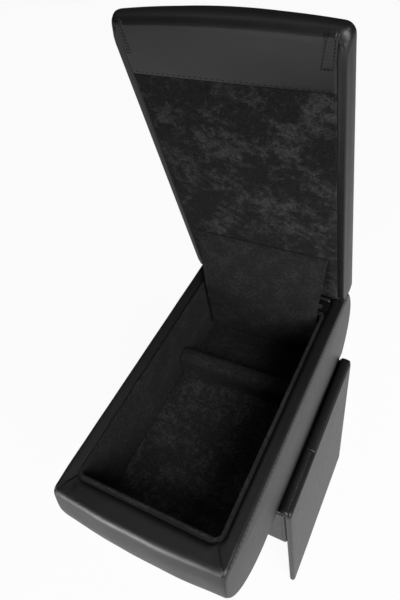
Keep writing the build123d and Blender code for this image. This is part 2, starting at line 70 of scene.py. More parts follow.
# Levels and lines that the solids give
HALF = high("side_cover_right", 0)
RIM = high("rim_strip_right", 2)
SEAM = high("side_cover_right", 2)
UNDER = low("side_cover_right", 2)
NOSE = low("front_cover", 1)
LIP_HALF = high("liner", 0)
LIP_FRONT = low("liner", 1)
LIP_REAR = high("liner", 1)
LIP_TOP = high("liner", 2)
FLOOR = low("floor_mat", 2)
BASE_FRONT = low("base_front_cover", 1)
BASE_REAR = high("base_rear_cover", 1)
BASE_HALF = high("cheek_cover_right", 0)
CHEEK_IN = low("cheek_cover_right", 0)
FOOT = low("cheek_cover_right", 2)
HINGE = frame["record"]["behaviour"]["joints"][0]
AXIS_Y = HINGE["pos_m"][1] / MM
AXIS_Z = HINGE["pos_m"][2] / MM
OPEN = math.radians(-HINGE["range_deg"][0])

# Sizes of the sewn covers that the boxes of the solids don't show
TUCK = 0.9             # how far a sewn edge is turned in
COVER_THICK = 1.2      # a cover's sheet
CROWN = 4.0            # bow of the front across the width
EDGE_R = 8.0           # front top edge
LEAN_R = 110.0         # front's lean from its fullest level up to the edge
SWEEP_R = 66.0         # front's turn to the underside
CORNER_R = 3.6         # sewn upright corners and side edges
MOUTH_R = 10.0         # rim's inner front corners
MOUTH_HALF = LIP_HALF + 0.5
MOUTH_FRONT = LIP_FRONT - 0.5
REAR_EDGE = 107.5      # top and bottom edge of the bowed rear
REAR_BOW = 20.0        # how far the rear bows past that edge
LID_LENGTH = 280.0     # hinge line to the lid's padded front end
LID_END_BOW = 3.0      # how far the corners of that end lie behind its middle
LID_REAR = -0.8        # hinge line to the lid's rear end
LID_EDGE_REAR = 28.0   # height of the lid's edge at the hinge
LID_EDGE_FRONT = 15.5  # and at its front end
LID_CROWN = 6.0        # rise of the lid's top from its sides to its middle
LID_RISE = 1.8         # lid's underside above the hinge line when closed
LID_SIDE_ROLL = 1.3    # lid's lower edge along the sides
LID_FRONT_ROLL = 5.0   # and at its front end
LID_LIFT = 1.6         # how far the lid's underside rises just before its front end
LID_LIFT_RUN = 26.0    # over this length
LID_TOP_ROLL = 5.0     # lid's top edge all round
LID_SIDE_FULL = 1.6    # how far the lid's sides bulge
LID_END_FULL = 1.5     # and its front end
LID_CORNER_R = 6.5     # lid's front corners in plan
BAND_SEAM = 239.0      # hinge line to the seam of the lid's front band
BAND_TUCK = 15.0       # that seam to the lower end of the folded corners
BORDER = 7.1           # cover turned under the lid's sides
FLAP_SEAM = 70.0       # hinge line to the flap's seam on the lid
LID_TUCK = {"left": 6.0, "right": 11.0}  # widths of the folded corners of the lid's band
TOP_HALF = {"front": BASE_HALF - 3.4, "rear": BASE_HALF - 1.4}  # saddle's top covers
FRONT = NOSE + CROWN
MIDDLE = (RIM + UNDER) / 2
CROWN_R = (HALF ** 2 + CROWN ** 2) / (2 * CROWN)
CROWN_Y = NOSE + CROWN_R
REAR_R = ((RIM - MIDDLE) ** 2 + REAR_BOW ** 2) / (2 * REAR_BOW)
REAR_Y = REAR_EDGE + REAR_BOW - REAR_R
DIAGONAL = math.sqrt(0.5)
SEAM_CUT = CORNER_R * (1 - DIAGONAL)
FULL = UNDER + SWEEP_R
EDGE_RISE = RIM - EDGE_R - FULL
EDGE_BACK = LEAN_R - math.sqrt((LEAN_R - EDGE_R) ** 2 - EDGE_RISE ** 2)
EDGE_END = math.degrees(math.asin(EDGE_RISE / (LEAN_R - EDGE_R)))
MITRE_END = FRONT + 5.6
SIDES = {"left": -1, "right": 1}


# Lines and grids

def unit(value):
    """A value held between 0 and 1."""
    return np.clip(value, 0, 1)


def smooth(value):
    """A smooth step from 0 to 1: three times the square less twice the cube."""
    share = unit(value)
    return share * share * (3 - 2 * share)


def roll(distance, radius):
    """Depth lost near an edge rounded to the radius: the radius less the height of its circle there."""
    back = np.clip(radius - distance, 0, radius)
    return radius - np.sqrt(radius ** 2 - back ** 2)


def points_at(x, y, z):
    """Points from their coordinates, spread over one grid."""
    return np.stack(np.broadcast_arrays(x, y, z), axis=-1)


def edge_spaced(half, count):
    """Places across a width, closer together towards its edges: the half width times a sine."""
    return half * np.sin(np.linspace(-1, 1, count) * math.pi / 2)


def arc(centre, radius, start, end, count):
    """Points of a circle from one angle to another, in degrees."""
    angle = np.radians(np.linspace(start, end, count))
    return np.stack([centre[0] + radius * np.cos(angle), centre[1] + radius * np.sin(angle)], axis=1)


def running(points):
    """Running length along a line of points."""
    return np.r_[0, np.cumsum(np.linalg.norm(np.diff(points, axis=0), axis=1))]


def spaced(points, count):
    """The same line with its points evenly spaced by running length."""
    run = running(points)
    at = np.linspace(0, run[-1], count)
    return np.stack([np.interp(at, run, column) for column in points.T], axis=1)


def eased(points, reach):
    """A line with its corners softened by a running mean over the reach, a count of points; its ends stay."""
    longer = np.vstack([np.repeat(points[:1], reach, 0), points, np.repeat(points[-1:], reach, 0)])
    weight = np.ones(2 * reach + 1) / (2 * reach + 1)
    return np.stack([np.convolve(column, weight, "valid") for column in longer.T], axis=1)


def unit_length(vectors):
    """Vectors cut to a length of one."""
    return vectors / np.linalg.norm(vectors, axis=1, keepdims=True)


def quarter_turn(steps):
    """Unit normals a quarter turn to the left of the steps along a plane line."""
    steps = unit_length(steps)
    return np.stack([-steps[:, 1], steps[:, 0]], axis=1)


def ripple(a, b, seed, size):
    """Soft unevenness from -1 to 1: the mean of five sine waves in two directions, with seeded angles and
    phases."""
    pick = np.random.default_rng(seed)
    waves = zip(pick.uniform(0, math.pi, 5), pick.uniform(0, 6.3, 5), pick.uniform(0.7, 1.6, 5))
    total = np.zeros(np.broadcast(a, b).shape)
    for turn, phase, scale in waves:
        total = total + np.sin((a * math.cos(turn) + b * math.sin(turn)) * 6.28 * scale / size + phase)
    return total / 5


def rounded_loop(half, front, rear, front_r, rear_r):
    """Closed plan outline of a rectangle with rounded corners, with one count of points for every size."""
    ahead, front_y = half - front_r, front + front_r
    behind, rear_y = half - rear_r, rear - rear_r
    along = np.linspace(rear_y, front_y, 60)
    return np.vstack([
        np.stack([np.full(60, half), along], axis=1),
        arc((ahead, front_y), front_r, 0, -90, 12)[1:-1],
        np.stack([np.linspace(ahead, -ahead, 40), np.full(40, front)], axis=1),
        arc((-ahead, front_y), front_r, -90, -180, 12)[1:-1],
        np.stack([np.full(60, -half), along[::-1]], axis=1),
        arc((-behind, rear_y), rear_r, 180, 90, 8)[1:-1],
        np.stack([np.linspace(-behind, behind, 40), np.full(40, rear)], axis=1),
        arc((behind, rear_y), rear_r, 90, 0, 8)[1:-1]])


def grid_faces(rows, columns, wrap=False):
    """Quads of a grid of points; wrap joins the last column to the first."""
    i = np.arange(rows - 1)[:, None]
    j = np.arange(columns if wrap else columns - 1)
    k = (j + 1) % columns
    corners = [i * columns + j, i * columns + k, (i + 1) * columns + k, (i + 1) * columns + j]
    return np.stack(corners, axis=-1).reshape(-1, 4)


def lid_place(x, along, rise):
    """Points of the open lid: x across, along from the hinge line to the front, rise from the underside. The
    closed place is turned about the hinge line by the opening angle."""
    z = rise + LID_RISE
    c, s = math.cos(OPEN), math.sin(OPEN)
    return points_at(x, AXIS_Y - along * c + z * s, AXIS_Z + along * s + z * c)


LID_UP = lid_place(0, 0, 1) - lid_place(0, 0, 0)


# Finishes

def fill_inputs(node, inputs):
    """Inputs of a shader node by name or number: a socket is linked, anything else is set as a value."""
    for key, value in inputs.items():
        if isinstance(value, bpy.types.NodeSocket):
            node.id_data.links.new(value, node.inputs[key])
        else:
            node.inputs[key].default_value = value
    return node


def add_node(tree, kind, inputs, **settings):
    """A new shader node of a kind in a node tree, with its settings and its inputs."""
    node = tree.nodes.new("ShaderNode" + kind)
    for name, value in settings.items():
        setattr(node, name, value)
    return fill_inputs(node, inputs)


def finish(name, roughness, sheen=0.0, metal=0.0, specular=0.5, coordinates="Object"):
    """A new material with its shader and the coordinates that its pattern lies on."""
    material = bpy.data.materials.new(name)
    material.use_nodes = True
    tree = material.node_tree
    shader = fill_inputs(tree.nodes["Principled BSDF"], {
        "Roughness": roughness, "Metallic": metal, "Specular IOR Level": specular,
        "Sheen Weight": sheen, "Sheen Roughness": 0.45})
    return material, shader, add_node(tree, "TexCoord", {}).outputs[coordinates]


def noise(at, scale, detail=3.0, rough=0.5, stretch=None):
    """A noise texture on coordinates, drawn out by stretch where it is given."""
    if stretch:
        at = add_node(at.id_data, "Mapping", {"Vector": at, "Scale": stretch}).outputs["Vector"]
    inputs = {"Vector": at, "Scale": scale, "Detail": detail, "Roughness": rough}
    return add_node(at.id_data, "TexNoise", inputs).outputs["Fac"]


def ramp(value, stops):
    """Colours along a value: stops are (place, grey or colour)."""
    node = add_node(value.id_data, "ValToRGB", {"Fac": value})
    elements = node.color_ramp.elements
    while len(elements) < len(stops):
        elements.new(0.5)
    for element, (at, colour) in zip(elements, stops):
        element.position = at
        element.color = (*((colour,) * 3 if np.isscalar(colour) else colour), 1)
    return node.outputs["Color"]


def shade(value, dark, light):
    """A ramp from dark to light over the range that most of a noise lies in."""
    return ramp(value, [(0.3, dark), (0.7, light)])


def blend_colours(first, second, share, mode="MIX"):
    """Two colours mixed by a share."""
    inputs = {0: share, 6: first, 7: second}
    return add_node(first.id_data, "Mix", inputs, data_type="RGBA", blend_type=mode).outputs[2]


def coat(shader, colour, layers):
    """A shader's colour, and relief from (height, strength, depth in metres) layers, each over the last."""
    relief = {}
    for height, strength, depth in layers:
        inputs = {"Height": height, "Strength": strength, "Distance": depth, **relief}
        relief = {"Normal": add_node(shader.id_data, "Bump", inputs).outputs["Normal"]}
    fill_inputs(shader, {"Base Color": colour, **relief})


def leatherette():
    """Black grained leatherette: pebbled cells of about a millimetre, soft dents, a little uneven gloss."""
    material, shader, at = finish("black_leatherette", 0.46)
    cells = add_node(at.id_data, "TexVoronoi", {"Vector": at, "Scale": 850}, feature="SMOOTH_F1")
    tone = shade(noise(at, 60, 4.0), (0.0042, 0.0042, 0.0044), (0.0058, 0.0058, 0.0061))
    fill_inputs(shader, {"Roughness": shade(noise(at, 120), 0.43, 0.47)})
    coat(shader, tone, [(noise(at, 38, 2.0), 0.12, 0.0012), (cells.outputs["Distance"], 0.28, 0.00022)])
    return material


def velour(name, dark, light, patch_size, coordinates="Object"):
    """Short-pile velour: small brushed patches of lighter nap that gather in broad clouds over a dark ground,
    with a pile relief and a grainy speck."""
    material, shader, at = finish(name, 0.95, sheen=0.02, specular=0.1, coordinates=coordinates)
    cloud = noise(at, patch_size, 3.0, 0.55)
    fleck = noise(at, patch_size * 4.5, 6.0, 0.68, (1.0, 1.0, 1.25))
    nap = blend_colours(cloud, fleck, 0.55)
    brushed = ramp(nap, [(0.475, dark), (0.52, dark * 0.65 + light * 0.35), (0.595, light)])
    pile = noise(at, 600, 3.0, 0.7)
    speck = ramp(pile, [(0.33, 0.35), (0.67, 1.65)])
    colour = blend_colours(brushed, speck, 0.85, "MULTIPLY")
    coat(shader, colour, [(nap, 0.3, 0.0012), (pile, 0.6, 0.0006)])
    return material


def thread(name, tone, roughness, specular):
    """Twisted sewing thread, near black with a faint spiral."""
    material, shader, at = finish(name, roughness, specular=specular)
    twist = noise(at, 1800, 2.0, 0.5, (1, 3, 1))
    coat(shader, shade(twist, tone, tone * 2.2), [(twist, 0.4, 0.0002)])
    return material


def zinc(name, tone):
    """Zinc-plated steel with fine draw marks and clouded gloss."""
    material, shader, at = finish(name, 0.35, metal=1.0)
    drawn = noise(at, 400, 3.0, 0.6, (0.1, 1, 1))
    fill_inputs(shader, {"Roughness": shade(drawn, 0.28, 0.45)})
    coat(shader, shade(noise(at, 90), tone * 0.85, tone), [(drawn, 0.2, 0.0002)])
    return material


def wood(name, dark, light, across):
    """Board: long grain streaks with darker pores, drawn out along the grain."""
    material, shader, at = finish(name, 0.7)
    grain = shade(noise(at, 60, 5.0, 0.6, across), dark, light)
    pores = noise(at, 320, 3.0, 0.6, across)
    specks = ramp(pores, [(0.35, 0.7), (0.6, 1.0)])
    coat(shader, blend_colours(grain, specks, 0.6, "MULTIPLY"), [(pores, 0.3, 0.0003)])
    return material


def sponge():
    """Open-cell foam: small pits in a pale ground."""
    material, shader, at = finish("foam", 0.9)
    pits = noise(at, 700, 3.0, 0.7)
    coat(shader, shade(pits, (0.40, 0.38, 0.31), (0.60, 0.57, 0.48)), [(pits, 0.6, 0.0008)])
    return material


# Each cover is a material with the slot it belongs to
LEATHER = leatherette(), "leatherette"
LINING = velour("lid_velour", 0.0088, 0.031, 30), "velour"
TUB_VELOUR = velour("tub_velour", 0.0115, 0.018, 40), "velour"
MAT_VELOUR = velour("mat_velour", 0.0165, 0.035, 44), "velour"
# The divider's velour is a lighter copy of the tub's: painted light that makes up for the shadow the right
# wall casts on the divider.
LIGHTENED_DIVIDER_VELOUR = velour("divider_velour_lightened", 0.0145, 0.0225, 40), "velour"
FLAP_VELOUR = velour("flap_velour", 0.0115, 0.0205, 60, "UV"), "velour"
THREAD = thread("black_thread", 0.004, 0.8, 0.15), "leatherette"
WAXED_THREAD = thread("waxed_thread", 0.02, 0.4, 0.5), "leatherette"


# Making pieces

def put(name, data):
    """A new object in the scene."""
    thing = bpy.data.objects.new(name, data)
    bpy.context.scene.collection.objects.link(thing)
    return thing


def put_mesh(name, points, faces):
    """A new mesh object in the scene, from points and faces."""
    mesh = bpy.data.meshes.new(name)
    mesh.from_pydata((points * MM).tolist(), [], faces)
    return put(name, mesh)


def facing(points, faces, core):
    """Faces turned so that, on the whole, they look away from the core point."""
    corner = points[faces]
    normal = np.cross(corner[:, 2] - corner[:, 0], corner[:, 3] - corner[:, 1])
    return faces[:, ::-1] if np.sum(normal * (corner.mean(1) - np.array(core))) < 0 else faces


def new_piece(name, points, faces, cover, body, replaced=(), thick=0.0):
    """A smooth mesh object that rides on a body and stands for the CAD nodes it replaces. A thickness makes a
    sheet solid on its inner side."""
    material, slot = cover
    piece = put_mesh(name, points, faces)
    piece.data.polygons.foreach_set("use_smooth", np.ones(len(faces), bool))
    piece.data.materials.append(material)
    piece.data.update()
    if thick:
        solid = piece.modifiers.new("thickness", "SOLIDIFY")
        solid.thickness = thick * MM
        solid.offset = -1
    if body:
        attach(piece, body)
    if replaced:
        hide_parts(*replaced)
    return piece


def patch(name, points, core, cover, body, replaced=(), thick=COVER_THICK):
    """A sheet from a grid of points that looks away from the core, made solid by its thickness."""
    flat = points.reshape(-1, 3)
    faces = facing(flat, grid_faces(*points.shape[:2]), core)
    return new_piece(name, flat, faces.tolist(), cover, body, replaced, thick)


def closed_rings(name, rings, core, cover, body, replaced=(), caps=(True, True), thick=0.0):
    """A surface through rings of points; a cap closes an end with a fan to the ring's middle."""
    count, size = rings.shape[:2]
    points = rings.reshape(-1, 3)
    quads = facing(points, grid_faces(count, size, wrap=True), core)
    turned = quads[0, 1] == 1
    faces = quads.tolist()
    ring = np.arange(size)
    for at, wanted in zip((0, count - 1), caps):
        if wanted:
            fan = [at * size + ring, at * size + (ring + 1) % size, np.full(size, len(points))]
            faces += np.stack(fan[::-1] if (at == 0) == turned else fan, axis=1).tolist()
            points = np.vstack([points, rings[at].mean(0)])
    return new_piece(name, points, faces, cover, body, replaced, thick)


def stitch_row(name, line, normal, body, pitch=4.2, length=3.0, radius=0.42, cover=THREAD):
    """Sewn thread along a seam: at every pitch a bead whose width follows a half sine along its length, half
    sunk into the surface, with its ends dipping in."""
    count = max(2, int(running(line)[-1] / pitch))
    dense = spaced(line, 2 * count + 1)
    centre = dense[1::2]
    forward = unit_length(dense[2::2] - dense[:-1:2])
    up = np.broadcast_to(np.array(normal, float), centre.shape)
    up = unit_length(up - forward * np.sum(up * forward, axis=1, keepdims=True))
    side = np.cross(forward, up)
    rings, around = 5, 6
    t = np.linspace(0.06, 0.94, rings)[:, None, None]
    angle = np.linspace(0, 2 * math.pi, around, endpoint=False)[:, None]
    width = radius * np.sin(math.pi * t)
    centre, forward, up, side = (vectors[:, None, None] for vectors in (centre, forward, up, side))
    beads = (centre + forward * ((t - 0.5) * length) + up * (width - radius + width * np.cos(angle))
             + side * (width * np.sin(angle)))
    size = rings * around

    def on_every_bead(faces):
        """The same faces on each bead in turn."""
        return (faces + (np.arange(count) * size)[:, None, None]).reshape(-1, faces.shape[1]).tolist()

    ends = np.stack([np.arange(around), np.arange(size)[::-1][:around]])
    faces = on_every_bead(grid_faces(rings, around, wrap=True)[:, ::-1]) + on_every_bead(ends)
    new_piece(name, beads.reshape(-1, 3), faces, cover, body)


# Box covers

def front_profile():
    """Side line of the front, as (distance from the crown's far axis, height): the rim, the rounded edge, the
    leaning front, the sweep and the underside. Gives the line and its outward normals."""
    line = spaced(np.vstack([
        [(CROWN_R - 60, RIM)],
        arc((CROWN_R - EDGE_BACK, RIM - EDGE_R), EDGE_R, 90, EDGE_END, 30),
        arc((CROWN_R - LEAN_R, FULL), LEAN_R, EDGE_END, 0, 40)[1:],
        arc((CROWN_R - SWEEP_R, FULL), SWEEP_R, 0, -90, 90)[1:],
        [(CROWN_R - SWEEP_R - 50, UNDER)]]), 1200)
    return line, quarter_turn(np.gradient(line, axis=0))


def mouth_line(x):
    """Y of the front cover's rear edge: along the mouth, round half its corner, then out along the mitre."""
    x = np.abs(x)
    centre_x, centre_y = MOUTH_HALF - MOUTH_R, MOUTH_FRONT + MOUTH_R
    bend_x, bend_y = centre_x + MOUTH_R * DIAGONAL, centre_y - MOUTH_R * DIAGONAL
    rounded = centre_y - np.sqrt(np.maximum(MOUTH_R ** 2 - (x - centre_x) ** 2, 0))
    y = np.where(x > centre_x, rounded, MOUTH_FRONT)
    slope = (MITRE_END - bend_y) / (HALF - SEAM_CUT - bend_x)
    return np.where(x > bend_x, bend_y + slope * (x - bend_x), y)


def sewn_width(count):
    """Places across a box cover: their x, a 1 at the two that are tucked into the side seams, and their
    distance from the middle with the tucks folded out."""
    reach = HALF - SEAM_CUT
    x = np.r_[TUCK - reach, edge_spaced(reach, count), reach - TUCK]
    tucked = np.r_[1.0, np.zeros(count), 1.0]
    return x, tucked, np.clip(np.abs(x) + tucked * TUCK, 0, reach)


def make_front_cover():
    """Padded front: each point is a place on the front's side line, turned about the crown's far axis to its
    x, drawn in at the sewn edges as a rounded corner, with a tuck into the seam all round."""
    line, normal = front_profile()
    run = running(line)
    x, tucked, edge_x = sewn_width(141)
    rising = line[:, 0].argmax()
    begin = np.interp(np.hypot(edge_x, CROWN_Y - mouth_line(edge_x)), line[:rising, 0], run[:rising])
    at_mouth = unit((MOUTH_HALF - 4 - np.abs(x)) / 6)
    under = np.array([[-2.5], [-0.6], [-0.1]]) * (0.35 + 0.65 * at_mouth)
    past = np.vstack([under, (np.linspace(0, 1, 170) ** 1.25)[:, None] * (run[-1] - begin)])
    s = begin + past
    seam = np.where(past < 0, 1.0, np.exp(-np.maximum(past, 0) / (1.0 + 1.9 * at_mouth)))
    inward = roll(HALF - edge_x, CORNER_R) + (0.8 + 1.05 * at_mouth) * seam + tucked
    inward = inward - 0.6 * ripple(s, 0.6 * x, 4, 42) * unit(past / 8)
    inward = inward - 0.9 * np.sin(math.pi * unit(past / 15) ** 0.6) * at_mouth
    out = np.interp(s, run, line[:, 0]) - np.interp(s, run, normal[:, 0]) * inward
    z = np.interp(s, run, line[:, 1]) - np.interp(s, run, normal[:, 1]) * inward
    points = points_at(x, CROWN_Y - np.sqrt(out ** 2 - x ** 2), z)
    piece = patch("front_cover_pad", points, (0, FRONT + 60, MIDDLE), LEATHER, "box", ["front_cover"])


def make_rim(side, sign):
    """Rim strip between the mouth's edge and the box's side: its top leans a little to the right, its outer
    edge is rounded, it sinks into the mitre at the front and is tucked in along its edges."""
    straight = np.linspace(REAR_EDGE - 0.8, MOUTH_FRONT + MOUTH_R, 110)
    turn = np.radians(np.linspace(0, 45, 40))[1:]
    inner_x = np.r_[np.full(110, MOUTH_HALF), MOUTH_HALF - MOUTH_R + MOUTH_R * np.cos(turn)]
    inner_y = np.r_[straight, MOUTH_FRONT + MOUTH_R - MOUTH_R * np.sin(turn)]
    outer_y = np.r_[straight, np.linspace(straight[-1], MITRE_END, 40)[1:]]
    outer_x = HALF - roll(outer_y - MITRE_END + SEAM_CUT, CORNER_R)
    past = np.array([0.5, 1.2, 2.6])
    inner_x, inner_y = np.r_[inner_x, inner_x[-1] + 0 * past], np.r_[inner_y, inner_y[-1] - past]
    outer_x, outer_y = np.r_[outer_x, outer_x[-1] + 0 * past], np.r_[outer_y, outer_y[-1] - 0.2 * past]
    width = HALF - MOUTH_HALF
    bend = width - CORNER_R + CORNER_R * np.sin(np.radians(np.linspace(0, 90, 14)))
    side_drop = RIM - SEAM - CORNER_R
    offset = np.r_[-2.5, -0.6, 0.0, 0.25, 0.7, 1.4, 2.4, 3.8, 5.6, bend, width, width, width - TUCK]
    drop = np.r_[1.6, 1.58, 1.5, 1.2, 0.75, 0.35, 0.0, -0.3, -0.35, -0.25 * np.linspace(1, 0, 14),
                 side_drop * 0.5, side_drop - 0.25, side_drop + 0.6]
    lean = unit((offset - 0.7) / 2.2) * unit((width - offset) / CORNER_R)
    drop = drop + sign * 0.13 * (offset - 5.0) * lean
    share = offset / width
    x = inner_x[:, None] + (outer_x - inner_x)[:, None] * share
    y = inner_y[:, None] + (outer_y - inner_y)[:, None] * share
    y = y + 1.3 * unit((share - 0.8) / 0.2) * unit(1 - (outer_y - outer_y[-1]) / 5)[:, None] ** 2
    ahead = CROWN_R - np.hypot(x, CROWN_Y - y)
    rows = len(inner_y)
    mitre = 1.2 * smooth(np.r_[np.zeros(rows - 42), np.linspace(0, 1, 39), 1, 1, 1])
    mitre = mitre + np.r_[np.zeros(rows - 3), 0.25, 0.5, 0.9]
    rear_tuck = np.r_[2.5, 0.6, 0.2, np.zeros(rows - 3)]
    inside = unit(offset / 3)
    z = RIM - drop - roll(HALF - x, CORNER_R) - roll(REAR_EDGE + 0.3 - y, 3.0)
    z = z - roll(np.maximum(ahead - EDGE_BACK + EDGE_R, 0), EDGE_R) - rear_tuck[:, None]
    z = z - mitre[:, None] * inside - 0.2 * ripple(y, 3 * x, 11 + sign, 60) * inside
    points = points_at(sign * x, y, z)
    patch(f"rim_{side}", points, (sign * 74, 0, UNDER), LEATHER, "box", [f"rim_strip_{side}"])
    seam = points_at(sign * (HALF + 0.05), np.linspace(REAR_EDGE - 2, FRONT + 12, 90), SEAM + 1.6)
    stitch_row(f"rim_stitches_{side}", seam, (sign, 0, 0), "box", radius=0.22)


def side_outline():
    """Closed outline of the side panel in side view, and the rounding of its edge: tight at the seam under
    the rim, a rounded corner along the front, the underside and the rear."""
    line, _ = front_profile()
    line = line[(line[:, 1] < SEAM) & (line[:, 1] > UNDER)]
    front = np.stack([CROWN_Y - np.sqrt(line[:, 0] ** 2 - HALF ** 2), line[:, 1]], axis=1)
    lowest, highest = (math.degrees(math.asin((level - MIDDLE) / REAR_R)) for level in (UNDER, SEAM))
    rear = arc((REAR_Y, MIDDLE), REAR_R, lowest, highest, 90)
    sewn = spaced(np.vstack([front, rear]), 420)
    top = spaced(np.stack([rear[-1], front[0]]), 160)[1:-1]
    return np.vstack([sewn, top]), np.r_[np.full(len(sewn), CORNER_R), np.full(len(top), 1.2)]


def make_side_panel(side, sign):
    """Padded side: rings that shrink from the outline to its middle, rounded at the edge and swelling by two
    millimetres towards the middle, with a first ring tucked into the seam."""
    outline, radius = side_outline()
    middle = np.array([-25.0, MIDDLE + 2])
    inward = quarter_turn(np.roll(outline, -1, 0) - np.roll(outline, 1, 0))
    reach = np.sum((middle - outline) * inward, axis=1)
    inward = inward * np.sign(reach)[:, None]
    reach = np.abs(reach)
    depth = np.array([0.0, 0.35, 0.8, 1.5, 2.4, 3.6, 5.0, 7.5, 11.0])[:, None]
    near = (radius * (1 - DIAGONAL) + depth) / reach
    far = near[-1:] + (0.985 - near[-1:]) * np.linspace(0, 1, 26)[1:, None]
    share = np.vstack([near[:1], near, far])
    plan = outline + share[..., None] * (middle - outline)
    plan[0] = plan[0] + inward * np.where(radius > 2, TUCK, 0.0)[:, None]
    y, z = plan[..., 0], plan[..., 1]
    x = HALF - roll(share * reach, radius) + 2.0 * (1 - (1 - share) ** 2.5)
    x = x + 0.25 * ripple(y, z, 21 + sign, 70) * unit(share * 6)
    x[0] = x[0] - np.where(radius > 2, TUCK, 1.4)
    closed_rings(f"side_panel_{side}", points_at(sign * x, y, z), (0, -20, MIDDLE), LEATHER, "box",
                 [f"side_cover_{side}"], caps=(False, True), thick=COVER_THICK)


def make_rear_cover():
    """Bowed rear with the ledge behind the lid: the side line carried across the width and drawn in at its
    sewn edges as a rounded corner."""
    angle = math.degrees(math.asin((RIM - MIDDLE) / REAR_R))
    bow = arc((REAR_Y, MIDDLE), REAR_R, angle, -angle, 120)
    ledge = low("rear_cover", 1) + 3.9
    line = eased(spaced(np.vstack([[(ledge, RIM)], bow, [(REAR_EDGE - 18, UNDER)]]), 400), 5)
    normal = quarter_turn(np.gradient(line, axis=0))
    x, tucked, edge_x = sewn_width(101)
    inward = roll(HALF - edge_x, CORNER_R) + tucked - 0.3 * ripple(np.arange(400)[:, None], x, 31, 90)
    points = points_at(x, line[:, :1] - normal[:, :1] * inward, line[:, 1:] - normal[:, 1:] * inward)
    patch("rear_cover_pad", points, (0, 20, MIDDLE), LEATHER, "box", ["rear_cover"])


# Lining of the box

def make_tub():
    """Velour tub: rings round the mouth. They climb over a rolled lip, drop down the walls, round the lower
    edges, the front one in a wide sweep, and close over the floor."""
    crest = min(LIP_TOP, AXIS_Z + LID_RISE - 1.5)
    lip_inset = [0.4, 0.3, 0.7, 1.2, 1.8, 2.4, 3.0, 3.6, 4.2, 4.8, 5.0, 4.9, 4.4, 3.7, 3.0, 2.6]
    lip_rise = np.array([-6.0, -4.0, -2.6, -1.5, -0.7, -0.2, 0.0, -0.1, -0.6, -1.5, -2.5, -3.5, -4.3, -4.8,
                         -5.4, -6.5])
    wall = LIP_HALF - 67.0
    sweep = 15.0
    turn = np.radians(np.linspace(0, 90, 24))[1:]
    drop = np.linspace(crest - 8, FLOOR + sweep, 14)
    heights = np.r_[crest + lip_rise, drop, FLOOR + sweep * (1 - np.sin(turn))]
    inset = np.r_[lip_inset, np.full(len(drop) + len(turn), wall)]
    forward = np.r_[np.zeros(len(lip_rise) + len(drop)), sweep * (1 - np.cos(turn))]
    sideways = roll(heights - FLOOR, 4.0) - 0.6 * np.maximum(inset - wall, 0)
    loops = [rounded_loop(LIP_HALF - a - s, LIP_FRONT + a + f, LIP_REAR - a - s, max(MOUTH_R - 0.5 - a, 3),
                          max(4.5 - a, 1.5)) for a, f, s in zip(inset, forward, sideways)]
    last = loops[-1]
    middle = np.array([0.0, last[:, 1].mean()])
    loops += [middle + (last - middle) * k for k in (0.94, 0.8, 0.6, 0.4, 0.2, 0.06)]
    heights = np.r_[heights, np.full(6, FLOOR)][:, None]
    x, y = np.moveaxis(np.stack(loops), -1, 0)
    wave = ripple(y, heights * 1.5 + x, 41, 45)
    on_wall = (heights < crest - 9) & (heights > FLOOR + 6)
    rings = points_at(x + 0.3 * wave * on_wall, y, heights + 0.35 * wave * (heights > crest - 5))
    core = (0, -50, FLOOR - 400)
    closed_rings("tub_lining", rings, core, TUB_VELOUR, "box", ["liner"], caps=(False, True))


def make_divider():
    """Padded divider: an upright with a round top carried across the tub, flaring at the floor."""
    y0, y1, top = low("divider_cover", 1), high("divider_cover", 1), high("divider_cover", 2)
    radius = 8.5
    half = 66.8
    line = np.vstack([[(y0 - 3, FLOOR + 1.2), (y0, FLOOR + 5)],
                      arc((y0 + radius, top - radius), radius, 180, 90, 20),
                      arc((y1 - radius, top - radius), radius, 90, 0, 20),
                      [(y1, FLOOR + 5), (y1 + 3, FLOOR + 0.5)]])
    line = eased(spaced(line, 110), 3)
    y, z = line[:, :1], line[:, 1:]
    x = np.linspace(-half, half, 90)
    sag = 0.8 * np.cos(x / half * math.pi / 2) ** 2 * unit((z - FLOOR) / (top - FLOOR))
    points = points_at(x, y + 0.5 * ripple(x, z, 51, 60), z - sag)
    patch("divider_pad", points, (0, (y0 + y1) / 2, FLOOR), LIGHTENED_DIVIDER_VELOUR, "box", ["divider_cover"])


def make_mat():
    """Loose floor mat: rings from its top over a rounded edge to the floor, a little uneven."""
    half, y0, y1 = high("floor_mat", 0), low("floor_mat", 1), high("floor_mat", 1)
    inset = np.array([60, 48, 36, 24, 14, 7, 3, 1.2, 0.5, 0.1, 0.0, 0.3])
    height = np.array([2, 2, 2, 2, 2, 2, 2, 1.95, 1.7, 1.2, 0.6, 0.05])[:, None]
    loops = [rounded_loop(half - i, y0 + i, y1 - i, max(6 - i, 1), max(5 - i, 1)) for i in inset]
    x, y = np.moveaxis(np.stack(loops), -1, 0)
    rings = points_at(x, y, FLOOR + height + 0.3 * ripple(x, y, 61, 50) * (height > 1.9))
    closed_rings("floor_mat_velour", rings, (0, -78, FLOOR - 20), MAT_VELOUR, "box", ["floor_mat"])


# Lid

